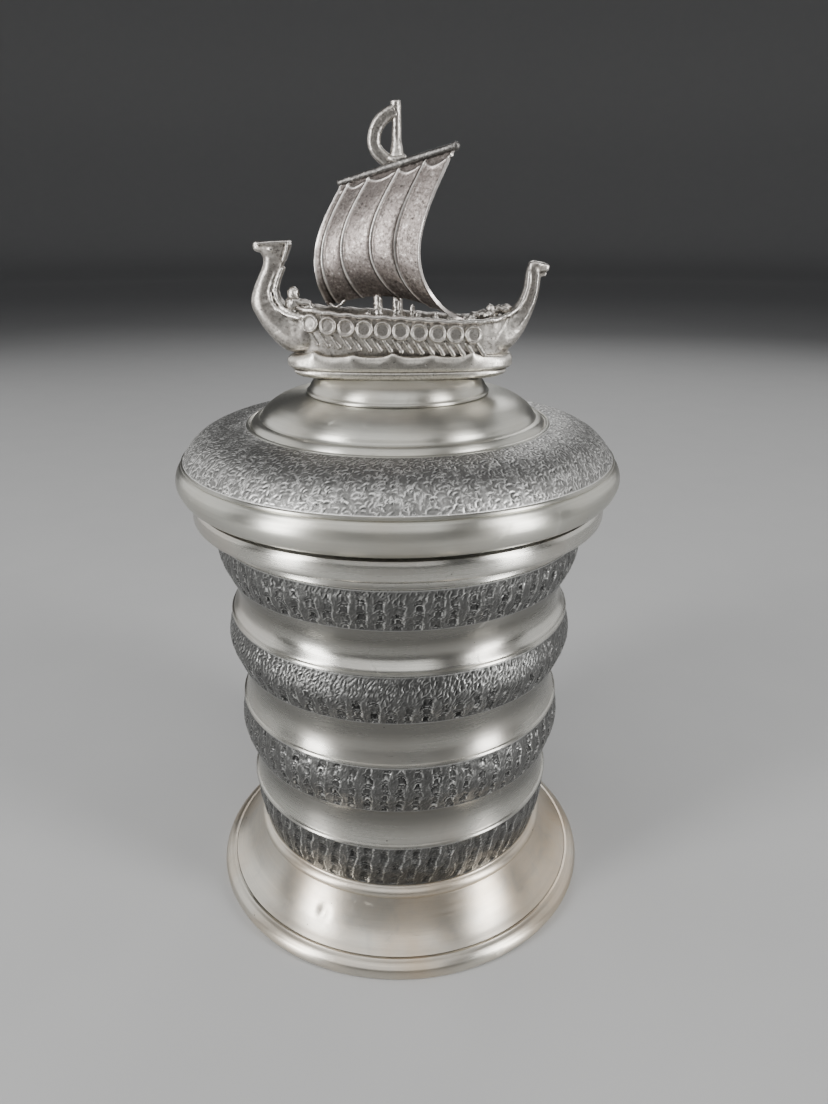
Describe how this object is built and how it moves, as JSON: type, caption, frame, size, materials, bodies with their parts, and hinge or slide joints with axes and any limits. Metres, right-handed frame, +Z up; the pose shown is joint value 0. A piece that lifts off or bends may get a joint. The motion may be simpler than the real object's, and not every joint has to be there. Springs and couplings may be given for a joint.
{
  "type": "lidded beer stein",
  "caption": "Straight pewter beer cup with ringed, chased walls, a flared foot and a lift-off domed lid carrying a cast longship finial.",
  "frame": {"origin": "centre of the foot's flat underside, on the cup's axis", "axes": "+Z up along the cup's axis, +X from the ship's bow to its stern, -Y towards the side of the ship that carries the sail's belly"},
  "size_m": [0.1158, 0.1158, 0.211],
  "materials": {
    "plain_pewter": "satin, fine circular brush lines",
    "chased_pewter": "darkened, hand-chased",
    "cast_pewter": "satin casting with darkened hollows",
    "steel": "bright"
  },
  "bodies": {
    "cup": {"body_shell": "plain_pewter", "base_floor": "plain_pewter", "foot_skirt": "plain_pewter", "foot_ring": "plain_pewter", "rim_band": "plain_pewter"},
    "lid": {"lid_shell": "chased_pewter", "lid_flange": "plain_pewter", "lid_dome": "plain_pewter", "finial_plate": "plain_pewter", "finial_screw": "steel", "finial_washer": "steel", "sea_plinth": "cast_pewter", "ship_hull": "cast_pewter", "prow_dragon": "cast_pewter", "stern_post": "cast_pewter", "sail": "cast_pewter", "yard": "cast_pewter", "mast": "cast_pewter", "masthead_vane": "cast_pewter", "bow_lookout": "cast_pewter", "deck_hand": "cast_pewter", "rower_aft": "cast_pewter", "steersman": "cast_pewter"}
  },
  "joints": [
    {"name": "lid_lift", "type": "slide", "parent": "cup", "child": "lid", "axis": [0, 0, 1], "range_m": [0, 0.06]}
  ]
}
